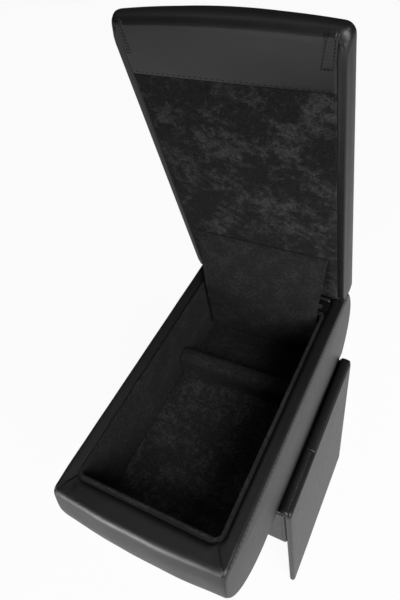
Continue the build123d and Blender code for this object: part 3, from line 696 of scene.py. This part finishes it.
def lid_rings():
    """Rings of the lid's cover, as x, along and rise: the turned-under border in its valley, the rolled lower
    edge, the full side, the rounded top edge and the crowned top. The roll is tight along the sides and wider
    at the front: each ring is a mean of a side ring and a front ring, weighted by how near the front a point
    lies. The edge's height falls evenly from the hinge to the front end. The sides and the front end bulge as
    a half sine of their height. No border at the hinge end."""
    turn = np.radians(np.linspace(0, 90, 12))
    climb = np.linspace(0, 1, 8)[1:]
    top_inset = np.r_[LID_TOP_ROLL - LID_TOP_ROLL * np.cos(turn[1:]), 8, 13, 20, 28, 38, 50, 62, 74, 81]
    count = 6 + len(turn) + len(climb)

    def ring_set(border, valley, radius, lift):
        """Insets and lower rises of the rings, for a border, its valley, a lower roll and a lift."""
        inset = np.r_[34, 16, border + 1.0, border + 0.4, border, (border + 2 * radius) / 3,
                      radius - radius * np.sin(turn), np.zeros(len(climb)), top_inset]
        rise = np.r_[1.8, 1.8, 1.8, 1.7, valley, valley * 0.35, radius - radius * np.cos(turn)]
        return inset, rise + lift * (np.arange(len(rise)) > 1)

    def plan(inset):
        """Plan outlines of the rings, drawn in by their insets."""
        return np.stack([rounded_loop(max(HALF - i, 1), LID_REAR + min(i, 81), LID_LENGTH - min(i, 81),
                                      max(3 - i, 1.0), max(LID_CORNER_R - i, 1.0)) for i in inset])

    inset_side, rise_side = ring_set(BORDER, 0.45, LID_SIDE_ROLL, 0.0)
    inset_front, rise_front = ring_set(LID_FRONT_ROLL + 0.6, 0.1, LID_FRONT_ROLL, LID_LIFT)
    side, front = plan(inset_side), plan(inset_front)
    to_front = side[count - 1, :, 1] - LID_LENGTH
    near = smooth((to_front + 14) / 12)
    x, along = np.moveaxis(side + (front - side) * near[:, None], -1, 0)
    edge = LID_EDGE_REAR + (LID_EDGE_FRONT - LID_EDGE_REAR) * along / LID_LENGTH
    low_part = rise_side[:, None] + (rise_front - rise_side)[:, None] * near
    shoulder = edge[len(low_part):count] - LID_TOP_ROLL
    side_part = low_part[-1] + (shoulder - low_part[-1]) * climb[:, None]
    crown = LID_CROWN * (1 - (x[count:] / HALF) ** 2)
    top_part = edge[count:] + crown - roll(inset_side[count:, None], LID_TOP_ROLL)
    up = np.vstack([low_part, side_part, top_part])
    full = np.sin(math.pi * unit((up - 2.0) / edge)) * (up > 2.0)
    full = full * unit(1 - (inset_side[:, None] - LID_TOP_ROLL) / 8)
    x = x + LID_SIDE_FULL * full * np.clip(x / (HALF - 8), -1, 1) ** 9
    along = along + LID_END_FULL * full * unit((to_front + 20) / 16)
    along = along - LID_END_BOW * (x / HALF) ** 2 * unit((along - LID_LENGTH + 60) / 40)
    up = np.where(up < 1.9, up + (1.9 - up) * unit((9.0 - along) / 5.0), up)
    return x, along, up


def coordinates(mesh):
    """Coordinates of a mesh's points, in metres."""
    flat = np.zeros(len(mesh.vertices) * 3)
    mesh.vertices.foreach_get("co", flat)
    return flat.reshape(-1, 3)


def swell(points, faces, held, cap):
    """How far a padded form swells: a voxel-remeshed copy is blown up as cloth for twenty frames with its
    held points pinned, each move is cut to the cap, and the moves come back to the given points as a mean
    that falls off with distance as a bell curve."""
    frames = 20
    scene = bpy.context.scene
    copy = put_mesh("swell", points, faces)
    mesh = copy.data
    remesh = copy.modifiers.new("remesh", "REMESH")
    remesh.mode = "VOXEL"
    remesh.voxel_size = 0.005
    graph = bpy.context.evaluated_depsgraph_get()
    plain = bpy.data.meshes.new_from_object(copy.evaluated_get(graph))
    copy.modifiers.clear()
    copy.data = plain
    rest = coordinates(plain)
    group = copy.vertex_groups.new(name="held")
    group.add(np.nonzero(held(rest / MM))[0].tolist(), 1.0, "ADD")
    cloth = copy.modifiers.new("cloth", "CLOTH")
    settings = cloth.settings
    settings.quality = 6
    settings.mass = 0.3
    settings.tension_stiffness = settings.compression_stiffness = 25
    settings.use_pressure = True
    settings.uniform_pressure_force = 4.0
    settings.vertex_group_mass = "held"
    settings.effector_weights.gravity = 0.0
    cloth.point_cache.frame_start = 1
    cloth.point_cache.frame_end = frames
    for number in range(1, frames + 1):
        scene.frame_set(number)
    graph = bpy.context.evaluated_depsgraph_get()
    blown = copy.evaluated_get(graph)
    move = (coordinates(blown.to_mesh()) - rest) / MM
    blown.to_mesh_clear()
    scene.frame_set(1)
    size = np.linalg.norm(move, axis=1, keepdims=True)
    move = move * np.minimum(1, cap / np.maximum(size, 1e-6))
    spread = []
    for some in np.array_split(points * MM, 40):
        far = np.sum((some[:, None, :] - rest[None]) ** 2, axis=-1)
        weight = np.exp(-far / 0.00015)
        spread.append(weight @ move / np.maximum(weight.sum(1, keepdims=True), 1e-9))
    bpy.data.objects.remove(copy)
    bpy.data.meshes.remove(plain)
    bpy.data.meshes.remove(mesh)
    return np.vstack(spread)


def make_lid():
    """Padded lid: its cover's rings, the top swelled as blown-up cloth over the foam, held along the board
    and fading to nothing at the edges."""
    x, along, up = lid_rings()
    count, size = x.shape
    flat = lid_place(x, along, up).reshape(-1, 3)
    ring = np.arange(size)
    caps = [ring[::-1].tolist(), ((count - 1) * size + ring).tolist()]
    held_rise = 6.5

    def held(points):
        """Points low on the lid, where the cover is stapled to the board."""
        return (points - lid_place(0, 0, 0)) @ LID_UP < held_rise

    move = swell(flat, grid_faces(count, size, wrap=True).tolist() + caps, held, cap=3.0)
    inside = np.minimum(HALF - np.abs(x), np.minimum(along - LID_REAR, LID_LENGTH - along))
    share = (unit((inside - 3.0) / 22.0) * (up > 10)).reshape(-1)
    flat = flat + (move @ LID_UP * smooth(share))[:, None] * LID_UP
    rings = flat.reshape(count, size, 3)
    core = lid_place(0, 138, 12)
    piece = closed_rings("lid_cover_pad", rings, core, LEATHER, "lid", ["lid_cover", "lid_foam"])


def lid_front_end(x):
    """How far the lid's front end lies from the hinge line at x: the bowed end less the corner's rounding."""
    past = np.clip(np.abs(x) - (HALF - LID_CORNER_R), 0, LID_CORNER_R)
    bow = LID_END_BOW * (x / HALF) ** 2
    return LID_LENGTH - bow - LID_CORNER_R + np.sqrt(LID_CORNER_R ** 2 - past ** 2)


def end_bulge(rise):
    """Share of the full bulge at a height on the lid's front end: a half sine."""
    return np.sin(math.pi * unit((rise - 2.0) / LID_EDGE_FRONT))


def band_place(x, run, lift):
    """Points on the band, as along and rise: run is the length from the band's seam along the underside and
    round the rolled front end, lift the height over the cover. The underside rises as a square before the
    roll, which turns about a line one radius inside the lid's end."""
    flat = lid_front_end(x) - LID_FRONT_ROLL - BAND_SEAM
    turn = np.clip((run - flat) / LID_FRONT_ROLL, 0, math.pi / 2)
    along = BAND_SEAM + np.minimum(run, flat) + (LID_FRONT_ROLL + lift) * np.sin(turn)
    rise = LID_FRONT_ROLL - (LID_FRONT_ROLL + lift) * np.cos(turn)
    rise = rise + LID_LIFT * unit((run - flat) / LID_LIFT_RUN + 1) ** 2
    side_roll = roll(HALF - np.abs(x), LID_SIDE_ROLL) * np.cos(turn)
    return along + LID_END_FULL * end_bulge(rise), rise + side_roll


def make_lid_band():
    """Leatherette band from its seam along the underside over the rolled front end, tucked in at the seam."""
    reach = HALF - BORDER + 0.6
    x = edge_spaced(reach, 121)
    length = lid_front_end(x) - LID_FRONT_ROLL - BAND_SEAM + LID_FRONT_ROLL * 1.2
    share = np.r_[0, 0, 0.008, 0.02, 0.04, np.linspace(0.06, 1, 70)][:, None]
    run = share * length
    lift = np.r_[-1.4, -0.5, 0.05, 0.2, 0.3, np.full(55, 0.3), np.linspace(0.3, -0.3, 15)][:, None]
    lift = lift + 0.2 * (1 + ripple(x, run, 71, 50)) * unit(share * 8) * unit(3 - share * 4)
    lift = lift - 0.8 * np.exp(-(reach - np.abs(x)) / 0.6)
    points = lid_place(x, *band_place(x, run, lift))
    patch("lid_band", points, lid_place(0, 200, 12), LEATHER, "lid", ["lid_front_band"], thick=0.4)
    seam_half = HALF - BORDER - 1.5
    seam = lid_place(np.linspace(-seam_half, seam_half, 80), BAND_SEAM + 2.2, -0.4)
    stitch_row("lid_band_stitches", seam, -LID_UP, "lid", radius=0.3)


def make_lid_lining():
    """Velour on the lid's underside: a sheet between the borders and over the hinge leaves, tucked at its
    edges and ending ahead of the knuckles."""
    half = HALF - BORDER + 0.6
    first, last = 4.2, BAND_SEAM + 0.4
    x = edge_spaced(half, 101)
    share = np.r_[0, 0.004, 0.01, 0.02, np.linspace(0.03, 0.97, 110), 0.98, 0.99, 0.996, 1][:, None]
    along = first + share * (last - first)
    edge = np.minimum(half - np.abs(x), last - along)
    rise = 1.0 * np.exp(-edge / 0.7) - 0.45 + 0.2 * ripple(x, along, 81, 60)
    points = lid_place(x, along, rise)
    patch("lid_lining_velour", points, lid_place(0, 140, 12), LINING, "lid", ["lid_lining"], thick=0.3)


def make_lid_tuck(side, sign):
    """Folded corner of the cover: a flat pleat that lies on the band and runs up to the front end, narrowing
    towards it, sewn round its lower end and along both edges."""
    width = LID_TUCK[side]
    first = BAND_TUCK
    last = LID_LENGTH - LID_END_BOW - BAND_SEAM + 2.0
    outward = 1.8
    narrowing = 0.25 * width + outward
    hem = 1.7
    t = np.linspace(0, 1, 80)[:, None]
    u = np.linspace(0, 1, 30)
    outer = HALF - BORDER + outward * t
    inner = HALF - BORDER - width + narrowing * t
    x = inner + (outer - inner) * u
    edge = np.minimum(np.minimum(u, 1 - u) * width, t * (last - first))
    lift = 0.15 + 0.6 * (1 - np.exp(-edge / 0.8)) - 0.3 * np.exp(-((edge - hem) / 0.7) ** 2)
    lift = lift - 1.3 * unit(t * 8 - 7)
    points = lid_place(sign * x, *band_place(x, first + (last - first) * t, lift))
    patch(f"lid_tuck_{side}", points, lid_place(sign * 69, 250, 12), LEATHER, "lid", thick=0.3)
    down = np.linspace(last - 5, first + hem, 40)
    share = (down - first) / (last - first)
    seam_in = HALF - BORDER + hem - width + narrowing * share
    seam_out = HALF - BORDER - hem + outward * share
    seam_x = np.r_[seam_in, np.linspace(seam_in[-1], seam_out[-1], 12)[1:], seam_out[::-1]]
    seam_run = np.r_[down, np.full(11, first + hem), down[::-1]]
    seam = lid_place(sign * seam_x, *band_place(seam_x, seam_run, 0.6))
    stitch_row(f"lid_tuck_stitches_{side}", seam, -LID_UP, "lid", pitch=2.2, length=2.0, radius=0.34)


def make_lid_corner(side, sign):
    """Sewn fold up the lid's front corner: a narrow welt round part of the corner's arc, from the rolled
    lower edge to the top edge, bulging with the cover."""
    t = np.linspace(0, 1, 40)[:, None]
    u = np.linspace(0, 1, 17)
    turn = np.radians(36 + 56 * u)
    rise = 3.2 + LID_LIFT + (LID_EDGE_FRONT - 5.2 - LID_LIFT) * t
    bulge = end_bulge(rise)
    lift = 0.45 * np.sin(math.pi * u) - 0.12 - 1.2 * np.abs(2 * t - 1) ** 4
    radius = LID_CORNER_R + lift - roll(rise - LID_LIFT, LID_FRONT_ROLL)
    x = HALF - LID_CORNER_R + radius * np.cos(turn) + LID_SIDE_FULL * bulge
    along = LID_LENGTH - LID_END_BOW - LID_CORNER_R + radius * np.sin(turn) + LID_END_FULL * bulge
    points = lid_place(sign * x, along, rise)
    patch(f"lid_corner_{side}", points, lid_place(sign * 60, 262, 10), LEATHER, "lid", thick=0.3)


# Flap

def make_flap():
    """Velour flap: a sheet from its seam on the lid down past the lip and along the rear wall, narrowing at
    the hinge. Its side line is straight from the lid to the lip, eases over it and hangs down the wall."""
    narrow, wide = 62.5, 67.5
    hinge_level = 205
    top = lid_place(0, FLAP_SEAM, -0.7)[1:]
    front = LIP_REAR - 6.0
    line = eased(spaced(np.stack([top, (front, RIM + 1), (front + 0.4, FLOOR + 4)]), 160), 14)
    across = np.linspace(-1, 1, 90)
    z = line[:, 1:]
    half = narrow + (wide - narrow) * unit((z - hinge_level) / (top[1] - hinge_level))
    x = half * across
    wave = 0.7 * ripple(x, z, 91, 70) * unit((top[1] - z) / 15)
    hem = 0.5 * np.exp(-(1 - np.abs(across)) * 30)
    points = points_at(x, line[:, :1] - np.abs(wave) * (z > RIM) - hem, z)
    piece = patch("hinge_flap_velour", points, (0, 300, 200), FLAP_VELOUR, None, ["hinge_flap"], thick=1.0)
    run = running(line)
    flat = np.stack(np.broadcast_arrays(x, run[:, None]), axis=-1).reshape(-1, 2) * MM
    uv = piece.data.uv_layers.new(name="cut")
    corners = np.zeros(len(piece.data.loops), int)
    piece.data.loops.foreach_get("vertex_index", corners)
    uv.data.foreach_set("uv", flat[corners].ravel())
    graph = bpy.context.evaluated_depsgraph_get()
    piece.data = bpy.data.meshes.new_from_object(piece.evaluated_get(graph))
    piece.modifiers.clear()
    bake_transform(piece)
    seam = points_at(np.linspace(-66, 66, 70), line[3, 0] - 1.2, line[3, 1])
    stitch_row("flap_stitches", seam, (0, -1, 0), "lid", radius=0.34)


# Saddle

def saddle_rise(y):
    """How far the saddle's top edges rise towards the rear: a smooth step of four millimetres."""
    return 4.0 * smooth((y - BASE_FRONT) / (BASE_REAR - BASE_FRONT))


def strip_swell(x, half):
    """How far the saddle's top cover swells between the box and its own edge: a half sine."""
    return 1.7 * np.sin(math.pi * unit((np.abs(x) - HALF) / (half - HALF)))


def make_cheek(side, sign):
    """Cheek of the saddle: rings round its side outline, flat on both faces with a fully rounded edge, the
    long lower edge a little wavy."""
    depth = (BASE_HALF - CHEEK_IN) / 2
    mid = (BASE_HALF + CHEEK_IN) / 2
    length_half = (BASE_REAR - BASE_FRONT) / 2
    turn = np.radians(np.linspace(-90, 90, 17))
    face_inset = [85, 60, 40, 22, 12, 6]
    inset = np.r_[face_inset, depth - depth * np.cos(turn), face_inset[::-1]]
    out = np.r_[np.full(6, -depth), depth * np.sin(turn), np.full(6, depth)][:, None]
    loops = [rounded_loop(length_half - i, FOOT + i, UNDER - i, max(6 - i, 1), max(6 - i, 1)) for i in inset]
    y, z = np.moveaxis(np.stack(loops), -1, 0)
    inset = inset[:, None]
    z = z + 0.5 * ripple(y, 0 * y, 101, 80) * unit(1 - inset / 12) * (z < FOOT + 40)
    z = z + saddle_rise(y) * unit((z - UNDER + 60) / 60)
    x = mid + out + 0.35 * unit(inset / 20) * np.sign(out) * ripple(y, z, 103, 90)
    core = (sign * mid, 0, (FOOT + UNDER) / 2)
    closed_rings(f"cheek_{side}", points_at(sign * x, y, z), core, LEATHER, "box", [f"cheek_cover_{side}"])


def make_base_top(name, node, y0, y1, half):
    """Top cover of the saddle: a flat sheet that rolls down at its edges into the seams, in a wide roll at
    the saddle's end, rising a little towards the rear beside the box."""
    x = edge_spaced(half, 121)
    y = (y0 + (y1 - y0) * (1 - np.cos(np.linspace(0, 1, 90) * math.pi)) / 2)[:, None]
    front_r, rear_r = (3.2, 1.5) if y0 < BASE_FRONT + 5 else (1.5, 3.2)
    end_roll = roll(y - y0, front_r) + roll(y1 - y, rear_r)
    z = UNDER + 0.5 - roll(half - np.abs(x), 1.2) - end_roll
    z = z + 0.2 * ripple(x, y, 111, 50) + strip_swell(x, half)
    z[[0, -1]] = z[[0, -1]] - 1.0
    z = np.where(np.abs(x) < HALF - 0.5, np.minimum(z, UNDER - 0.4), z)
    edge = UNDER - 2.2 - end_roll
    z = np.hstack([edge, z, edge])
    x = np.r_[-half - 0.4, x, half + 0.4]
    z = z + saddle_rise(y) * unit((np.abs(x) - HALF - 0.5) / 3)
    patch(name, points_at(x, y, z), (0, 0, 0), LEATHER, "box", [node])


def make_base_end(name, node, y, sign):
    """Front or rear cover of the saddle: an upright sheet with soft edges and a slight swell."""
    half = CHEEK_IN - 0.3
    top = UNDER - 3.2
    x = edge_spaced(half, 101)
    z = (top * (1 - np.cos(np.linspace(0, 1, 60) * math.pi)) / 2)[:, None]
    side = half - np.abs(x)
    edge = np.minimum(z + 0.3, (top - z) * 3 + 1.6)
    gone = roll(side, 1.5) + roll(edge, 3.0) - 0.8 * unit(side / 20) * unit(edge / 12)
    gone = gone + 0.25 * ripple(x, z, 121, 60)
    seam = np.full(z.shape, 1.9)
    gone = np.hstack([seam, gone, seam])
    x = np.r_[-CHEEK_IN - 2.0, x, CHEEK_IN + 2.0]
    patch(name, points_at(x, y - sign * gone, z), (0, 0, 40), LEATHER, "box", [node])


def make_base():
    """Covers of the saddle with their sewn lines."""
    split = high("base_top_cover_front", 1)
    make_base_top("base_top_front", "base_top_cover_front", BASE_FRONT + 0.5, split + 0.4, TOP_HALF["front"])
    make_base_top("base_top_rear", "base_top_cover_rear", split - 0.4, BASE_REAR - 0.5, TOP_HALF["rear"])
    make_base_end("base_front", "base_front_cover", BASE_FRONT, -1)
    make_base_end("base_rear", "base_rear_cover", BASE_REAR, 1)
    for side, sign in SIDES.items():
        make_cheek(side, sign)
        for name, y0, y1 in (("front", BASE_FRONT + 6, split - 1), ("rear", split + 1, BASE_REAR - 6)):
            y = np.linspace(y0, y1, 60)
            x = TOP_HALF[name] - 2.2
            line = points_at(sign * x, y, UNDER + 0.5 + saddle_rise(y) + strip_swell(x, TOP_HALF[name]))
            stitch_row(f"saddle_stitches_{name}_{side}", line, (sign * 0.4, 0, 1), "box", cover=WAXED_THREAD)
        for name, y, way in (("front", BASE_FRONT - 0.1, -1), ("rear", BASE_REAR + 0.1, 1)):
            line = points_at(sign * (CHEEK_IN - 3.4), y, np.linspace(4, UNDER - 9, 30))
            stitch_row(f"saddle_stitches_{name}_end_{side}", line, (0, way, 0), "box", radius=0.32)


make_front_cover()
for side_name, side_sign in SIDES.items():
    make_rim(side_name, side_sign)
    make_side_panel(side_name, side_sign)
make_rear_cover()
make_tub()
make_divider()
make_mat()
make_lid()
make_lid_lining()
make_lid_band()
for side_name, side_sign in SIDES.items():
    make_lid_tuck(side_name, side_sign)
    make_lid_corner(side_name, side_sign)
make_flap()
make_base()

# Finishes of the solids that stay
ALONG_GRAIN = (1.0, 0.12, 1.0)
KEPT = {
    "plywood": wood("plywood", (0.36, 0.24, 0.13), (0.58, 0.42, 0.26), ALONG_GRAIN),
    "hardboard": wood("hardboard", (0.17, 0.10, 0.055), (0.27, 0.17, 0.10), (0.8, 0.8, 0.8)),
    # The hinge's zinc is a much darker copy of the screws' zinc: painted shade for the dark gap the hinge
    # sits in.
    "hinge_steel": zinc("hinge_zinc_shade_darkened", 0.11),
    "screw_steel": zinc("screw_zinc", 0.52),
    "foam": sponge(),
    "leatherette": LEATHER[0],
    "velour": TUB_VELOUR[0],
}
STAINED = wood("black_stained_plywood", (0.010, 0.009, 0.008), (0.020, 0.018, 0.016), ALONG_GRAIN)
for part in frame["record"]["subparts"]:
    solid = bpy.data.objects.get(part["node"])
    if solid and solid.type == "MESH":
        seen = part["node"] in ("hinge_rail", "lid_board")
        solid.data.materials.clear()
        solid.data.materials.append(STAINED if seen else KEPT[part["material_slot"]])


# Studio

def maths(operation, *values):
    """A sum on values, the first of them a socket."""
    return add_node(values[0].id_data, "Math", dict(enumerate(values)), operation=operation).outputs[0]


def show(output, share, plain, shown):
    """Joins an output node to a mix of two shaders by a share."""
    inputs = {0: share, 1: plain.outputs[0], 2: shown.outputs[0]}
    fill_inputs(output, {"Surface": add_node(output.id_data, "MixShader", inputs).outputs[0]})


def make_floor():
    """Pale floor under the feet: the camera and reflections see it near white, but shadowed."""
    half, camera_share, mirror_share = 4000.0, 0.95, 0.65
    x = np.linspace(-half, half, 9)
    points = points_at(x, x[:, None], FOOT - 0.6).reshape(-1, 3)
    floor = put_mesh("floor", points, grid_faces(9, 9).tolist())
    material, shader, at = finish("pale_floor", 0.9, specular=0.0)
    fill_inputs(shader, {"Base Color": shade(noise(at, 1.5), 0.84, 0.88)})
    tree = material.node_tree
    glow = add_node(tree, "Emission", {"Strength": 1.0})
    path = add_node(tree, "LightPath", {}).outputs
    mirrored = maths("MAXIMUM", path["Is Glossy Ray"], path["Is Transmission Ray"])
    dimmed = maths("MULTIPLY", mirrored, mirror_share)
    share = maths("MULTIPLY_ADD", path["Is Camera Ray"], camera_share, dimmed)
    show(tree.nodes["Material Output"], share, shader, glow)
    floor.data.materials.append(material)


def make_world():
    """Dim, even room light; the camera sees white."""
    world = bpy.data.worlds.new("room")
    bpy.context.scene.world = world
    world.use_nodes = True
    tree = world.node_tree
    room = fill_inputs(tree.nodes["Background"], {"Color": (1, 1, 1, 1), "Strength": 0.03})
    white = add_node(tree, "Background", {"Strength": 1.0})
    camera_sees = add_node(tree, "LightPath", {}).outputs["Is Camera Ray"]
    show(tree.nodes["World Output"], camera_sees, room, white)


def soft_box(name, target, way, distance, size, power, spread=180):
    """Square area lamp that looks at a target from a direction, with its beam's spread in degrees."""
    data = bpy.data.lights.new(name, "AREA")
    data.shape = "SQUARE"
    data.size = size
    data.energy = power
    data.spread = math.radians(spread)
    lamp = put(name, data)
    back = Vector(way).normalized()
    lamp.location = Vector(target) + back * distance
    lamp.rotation_mode = "QUATERNION"
    lamp.rotation_quaternion = (-back).to_track_quat("-Z", "Y")


def make_camera():
    """Camera at the photograph's place: its lens is in 36 mm across the long side of the frame."""
    width, height, sensor = 400, 600, 36.0
    focal, centre_x, centre_y = 514.36, 213.44, 318.65
    data = bpy.data.cameras.new("camera")
    data.sensor_width = sensor
    data.lens = focal * sensor / height
    data.shift_x = -(centre_x - width / 2) / height
    data.shift_y = (centre_y - height / 2) / height
    data.clip_start = 0.01
    data.clip_end = 50
    camera = put("camera", data)
    right = Vector((0.887516, 0.441051, -0.13338))
    down = Vector((0.267915, -0.729453, -0.62938))
    ahead = Vector((-0.374883, 0.52285, -0.765565))
    turn = Matrix((right, -down, -ahead)).transposed().to_4x4()
    camera.matrix_world = Matrix.Translation((0.16369, -0.24763, 0.59788)) @ turn
    bpy.context.scene.camera = camera


make_floor()
make_world()
BOX_CENTRE = (0, -0.02, 0.15)
soft_box("key", BOX_CENTRE, (0.72, -0.50, 0.62), distance=2.2, size=1.3, power=58)
soft_box("top", BOX_CENTRE, (-0.25, 0.06, 0.96), distance=1.9, size=1.3, power=2.6)
soft_box("front", (0, -0.19, 0.18), (-0.36, -0.93, 0.02), distance=0.5, size=0.3, power=0.32, spread=40)
make_camera()
bpy.context.scene.view_settings.view_transform = "Standard"
